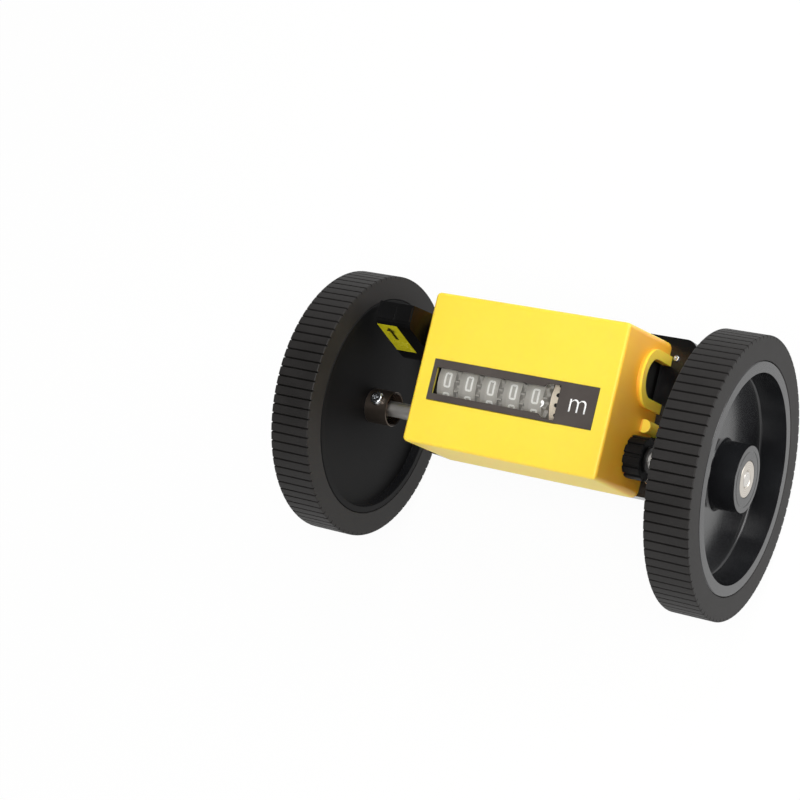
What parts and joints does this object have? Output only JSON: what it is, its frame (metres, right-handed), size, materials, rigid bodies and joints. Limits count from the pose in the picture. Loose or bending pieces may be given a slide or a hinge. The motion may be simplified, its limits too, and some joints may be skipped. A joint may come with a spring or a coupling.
{
  "type": "cable length counter",
  "caption": "Yellow mechanical counter that measures cable length: rubber-tyred measuring wheels on one axle drive number wheels behind a window, with a thumb reset lever at the side.",
  "frame": {"origin": "middle of the base's flat back, between the two wheels", "axes": "+X along the axle to the wheel on the side away from the reset lever, +Y up the window face, +Z out of the window face"},
  "size_m": [0.174, 0.1062, 0.106],
  "materials": {
    "cover_plastic": "moulded ABS, satin, yellow",
    "base_plastic": "moulded black plastic, satin",
    "bezel_plastic": "thin dark grey plate, satin",
    "lens": "clear polished window",
    "zinc_steel": "zinc plated steel, bright",
    "ground_steel": "ground steel bar",
    "tyre_rubber": "moulded rubber, dull",
    "wheel_plastic": "moulded grey plastic, satin",
    "insert_alloy": "turned light alloy, dull",
    "gear_plastic": "moulded natural acetal",
    "drum_plastic": "moulded grey plastic with printed white numbers",
    "tenths_plastic": "moulded cream plastic with printed dark ticks",
    "label": "thin yellow plastic sticker"
  },
  "bodies": {
    "housing": {"base_frame": "base_plastic", "cover_shell": "cover_plastic", "window_bezel": "bezel_plastic", "window_lens": "lens", "side_plate_left": "zinc_steel", "side_plate_right": "zinc_steel", "tie_rods": "ground_steel", "ear_screws": "zinc_steel", "cover_screws": "zinc_steel", "number_shaft": "ground_steel", "pinion_shaft": "ground_steel", "bearing_bush_left": "ground_steel", "bearing_bush_right": "ground_steel", "bush_nut_left": "base_plastic", "bush_nut_right": "base_plastic", "idler_pin": "ground_steel", "idler_clip": "zinc_steel"},
    "axle": {"main_shaft": "ground_steel", "tyre_left": "tyre_rubber", "tyre_right": "tyre_rubber", "wheel_left": "wheel_plastic", "wheel_right": "wheel_plastic", "hub_insert_left": "insert_alloy", "hub_insert_right": "insert_alloy", "shaft_collar_left": "insert_alloy", "shaft_collar_right": "insert_alloy", "collar_screws": "zinc_steel", "thrust_washer_left": "zinc_steel", "thrust_washer_right": "zinc_steel", "drive_gear": "gear_plastic"},
    "idler": {"idler_gears": "gear_plastic"},
    "reset": {"reset_lever": "base_plastic", "lever_label": "label", "reset_shaft": "ground_steel", "reset_hammers": "gear_plastic"},
    "digits_tenths": {"number_wheel_tenths": "tenths_plastic"},
    "digits_units": {"number_wheel_units": "drum_plastic"},
    "digits_tens": {"number_wheel_tens": "drum_plastic"},
    "digits_hundreds": {"number_wheel_hundreds": "drum_plastic"},
    "digits_thousands": {"number_wheel_thousands": "drum_plastic"},
    "digits_ten_thousands": {"number_wheel_ten_thousands": "drum_plastic"},
    "carry_units": {"carry_pinion_units": "gear_plastic"},
    "carry_tens": {"carry_pinion_tens": "gear_plastic"},
    "carry_hundreds": {"carry_pinion_hundreds": "gear_plastic"},
    "carry_thousands": {"carry_pinion_thousands": "gear_plastic"},
    "carry_ten_thousands": {"carry_pinion_ten_thousands": "gear_plastic"}
  },
  "joints": [
    {"name": "axle_spin", "type": "hinge", "parent": "housing", "child": "axle", "pos_m": [0, -0.0165, 0.03], "axis": [1, 0, 0], "continuous": true},
    {"name": "idler_spin", "type": "hinge", "parent": "housing", "child": "idler", "pos_m": [0, -0.00229, 0.02623], "axis": [1, 0, 0], "continuous": true},
    {"name": "digits_tenths_spin", "type": "hinge", "parent": "housing", "child": "digits_tenths", "pos_m": [0, -0.0032, 0.0402], "axis": [1, 0, 0], "continuous": true},
    {"name": "digits_units_spin", "type": "hinge", "parent": "housing", "child": "digits_units", "pos_m": [0, -0.0032, 0.0402], "axis": [1, 0, 0], "continuous": true},
    {"name": "digits_tens_spin", "type": "hinge", "parent": "housing", "child": "digits_tens", "pos_m": [0, -0.0032, 0.0402], "axis": [1, 0, 0], "continuous": true},
    {"name": "digits_hundreds_spin", "type": "hinge", "parent": "housing", "child": "digits_hundreds", "pos_m": [0, -0.0032, 0.0402], "axis": [1, 0, 0], "continuous": true},
    {"name": "digits_thousands_spin", "type": "hinge", "parent": "housing", "child": "digits_thousands", "pos_m": [0, -0.0032, 0.0402], "axis": [1, 0, 0], "continuous": true},
    {"name": "digits_ten_thousands_spin", "type": "hinge", "parent": "housing", "child": "digits_ten_thousands", "pos_m": [0, -0.0032, 0.0402], "axis": [1, 0, 0], "continuous": true},
    {"name": "carry_units_spin", "type": "hinge", "parent": "housing", "child": "carry_units", "pos_m": [0, 0.0122, 0.0402], "axis": [1, 0, 0], "continuous": true},
    {"name": "carry_tens_spin", "type": "hinge", "parent": "housing", "child": "carry_tens", "pos_m": [0, 0.0122, 0.0402], "axis": [1, 0, 0], "continuous": true},
    {"name": "carry_hundreds_spin", "type": "hinge", "parent": "housing", "child": "carry_hundreds", "pos_m": [0, 0.0122, 0.0402], "axis": [1, 0, 0], "continuous": true},
    {"name": "carry_thousands_spin", "type": "hinge", "parent": "housing", "child": "carry_thousands", "pos_m": [0, 0.0122, 0.0402], "axis": [1, 0, 0], "continuous": true},
    {"name": "carry_ten_thousands_spin", "type": "hinge", "parent": "housing", "child": "carry_ten_thousands", "pos_m": [0, 0.0122, 0.0402], "axis": [1, 0, 0], "continuous": true},
    {"name": "reset_press", "type": "hinge", "parent": "housing", "child": "reset", "pos_m": [0, 0.014, 0.028], "axis": [-1, 0, 0], "range_deg": [0, 25], "stiffness_Nm_per_rad": 0.2, "springref_deg": -8.59}
  ],
  "couplings": [
    {"joint": "idler_spin", "follows": "axle_spin", "ratio": -0.5},
    {"joint": "digits_tenths_spin", "follows": "axle_spin", "ratio": 0.33333},
    {"joint": "digits_units_spin", "follows": "axle_spin", "ratio": 0.033333},
    {"joint": "digits_tens_spin", "follows": "axle_spin", "ratio": 0.0033333},
    {"joint": "digits_hundreds_spin", "follows": "axle_spin", "ratio": 0.00033333},
    {"joint": "digits_thousands_spin", "follows": "axle_spin", "ratio": 0.000033333},
    {"joint": "digits_ten_thousands_spin", "follows": "axle_spin", "ratio": 0.000003333},
    {"joint": "carry_units_spin", "follows": "axle_spin", "ratio": -0.083333},
    {"joint": "carry_tens_spin", "follows": "axle_spin", "ratio": -0.0083333},
    {"joint": "carry_hundreds_spin", "follows": "axle_spin", "ratio": -0.00083333},
    {"joint": "carry_thousands_spin", "follows": "axle_spin", "ratio": -0.000083333},
    {"joint": "carry_ten_thousands_spin", "follows": "axle_spin", "ratio": -0.000008333}
  ]
}
